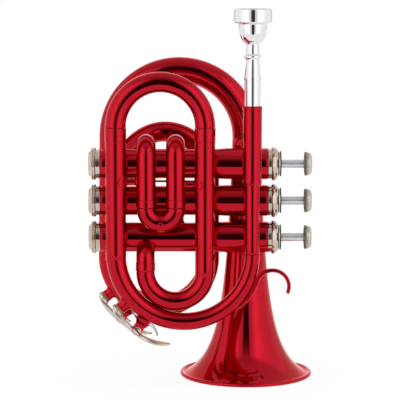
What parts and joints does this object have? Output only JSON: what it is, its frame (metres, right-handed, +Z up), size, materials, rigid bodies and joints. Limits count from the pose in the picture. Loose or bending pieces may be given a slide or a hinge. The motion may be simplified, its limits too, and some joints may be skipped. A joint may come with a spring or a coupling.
{
  "type": "pocket trumpet",
  "caption": "Pocket trumpet in red lacquer: tightly wrapped tubing round piston valves, tuning slides, water keys, a finger hook and a silver mouthpiece, standing on its bell.",
  "frame": {"origin": "middle of the instrument's own box in X and Y, on the plane of the bell's rim, on which it stands", "axes": "+Z up along the bell, the leadpipe and the mouthpiece, +X along the valves towards the finger buttons, -Y towards the side of the leadpipe"},
  "size_m": [0.1588, 0.1096, 0.2632],
  "materials": {
    "red_lacquer": "gloss",
    "nickel_plate": "gloss",
    "silver_plate": "polished",
    "piston_metal": "satin",
    "spring_steel": "satin",
    "cork": "matte",
    "guide_nylon": "matte"
  },
  "bodies": {
    "root": {"bell": "red_lacquer", "bell_top_bow": "red_lacquer", "bell_bottom_bow": "red_lacquer", "bell_return_bow": "red_lacquer", "valve_casing_1": "red_lacquer", "valve_casing_2": "red_lacquer", "valve_casing_3": "red_lacquer", "first_slide_outer_left": "red_lacquer", "first_slide_outer_right": "red_lacquer", "second_slide_outer_left": "red_lacquer", "second_slide_outer_right": "red_lacquer", "third_slide_outer_left": "red_lacquer", "third_slide_outer_right": "red_lacquer", "third_valve_inlet_bow": "red_lacquer", "leadpipe": "red_lacquer", "mouthpiece_receiver": "red_lacquer", "leadpipe_bow": "red_lacquer", "tuning_slide_outer_left": "red_lacquer", "tuning_slide_outer_right": "red_lacquer", "tuning_slide_brace": "red_lacquer", "bell_brace_upper": "red_lacquer", "bell_brace_lower": "red_lacquer", "valve_brace": "red_lacquer", "finger_hook": "red_lacquer", "water_key_nipple_front": "red_lacquer", "water_key_nipple_back": "red_lacquer", "water_key_spring_front": "spring_steel", "water_key_spring_back": "spring_steel", "water_key_screw_front": "nickel_plate", "water_key_screw_back": "nickel_plate", "valve_guide_1": "guide_nylon", "valve_guide_2": "guide_nylon", "valve_guide_3": "guide_nylon", "valve_spring_1": "spring_steel", "valve_spring_2": "spring_steel", "valve_spring_3": "spring_steel", "top_cap_1": "nickel_plate", "top_cap_2": "nickel_plate", "top_cap_3": "nickel_plate", "bottom_cap_1": "nickel_plate", "bottom_cap_2": "nickel_plate", "bottom_cap_3": "nickel_plate"},
    "valve_1": {"piston_1": "piston_metal", "valve_stem_1": "silver_plate", "finger_button_1": "nickel_plate"},
    "valve_2": {"piston_2": "piston_metal", "valve_stem_2": "silver_plate", "finger_button_2": "nickel_plate"},
    "valve_3": {"piston_3": "piston_metal", "valve_stem_3": "silver_plate", "finger_button_3": "nickel_plate"},
    "mouthpiece": {"mouthpiece": "silver_plate"},
    "main_tuning_slide": {"main_tuning_slide": "red_lacquer"},
    "first_valve_slide": {"first_valve_slide": "red_lacquer"},
    "second_valve_slide": {"second_valve_slide": "red_lacquer"},
    "third_valve_slide": {"third_valve_slide": "red_lacquer"},
    "water_key_front": {"water_key_lever_front": "nickel_plate", "water_key_cork_front": "cork"},
    "water_key_back": {"water_key_lever_back": "nickel_plate", "water_key_cork_back": "cork"}
  },
  "joints": [
    {"name": "valve_1_press", "type": "slide", "parent": "root", "child": "valve_1", "axis": [-1, 0, 0], "range_m": [0, 0.016], "stiffness_N_per_m": 150, "springref_m": -0.02, "deforming": ["valve_spring_1"]},
    {"name": "valve_2_press", "type": "slide", "parent": "root", "child": "valve_2", "axis": [-1, 0, 0], "range_m": [0, 0.016], "stiffness_N_per_m": 150, "springref_m": -0.02, "deforming": ["valve_spring_2"]},
    {"name": "valve_3_press", "type": "slide", "parent": "root", "child": "valve_3", "axis": [-1, 0, 0], "range_m": [0, 0.016], "stiffness_N_per_m": 150, "springref_m": -0.02, "deforming": ["valve_spring_3"]},
    {"name": "mouthpiece_pull", "type": "slide", "parent": "root", "child": "mouthpiece", "axis": [0, 0, 1], "range_m": [0, 0.018]},
    {"name": "main_tuning_pull", "type": "slide", "parent": "root", "child": "main_tuning_slide", "axis": [0, 0, 1], "range_m": [0, 0.03]},
    {"name": "first_slide_pull", "type": "slide", "parent": "root", "child": "first_valve_slide", "axis": [0, 0, -1], "range_m": [0, 0.009]},
    {"name": "second_slide_pull", "type": "slide", "parent": "root", "child": "second_valve_slide", "axis": [0, 1, 0], "range_m": [0, 0.012]},
    {"name": "third_slide_pull", "type": "slide", "parent": "root", "child": "third_valve_slide", "axis": [0, 0, 1], "range_m": [0, 0.018]},
    {"name": "water_key_front_lift", "type": "hinge", "parent": "root", "child": "water_key_front", "pos_m": [-0.04453, -0.04133, 0.04173], "axis": [0, -1, 0], "range_deg": [0, 16], "stiffness_Nm_per_rad": 0.03, "springref_deg": -34.38, "deforming": ["water_key_spring_front"]},
    {"name": "water_key_back_lift", "type": "hinge", "parent": "root", "child": "water_key_back", "pos_m": [-0.05781, 0.00728, 0.04175], "axis": [0, -1, 0], "range_deg": [0, 16], "stiffness_Nm_per_rad": 0.03, "springref_deg": -34.38, "deforming": ["water_key_spring_back"]}
  ]
}
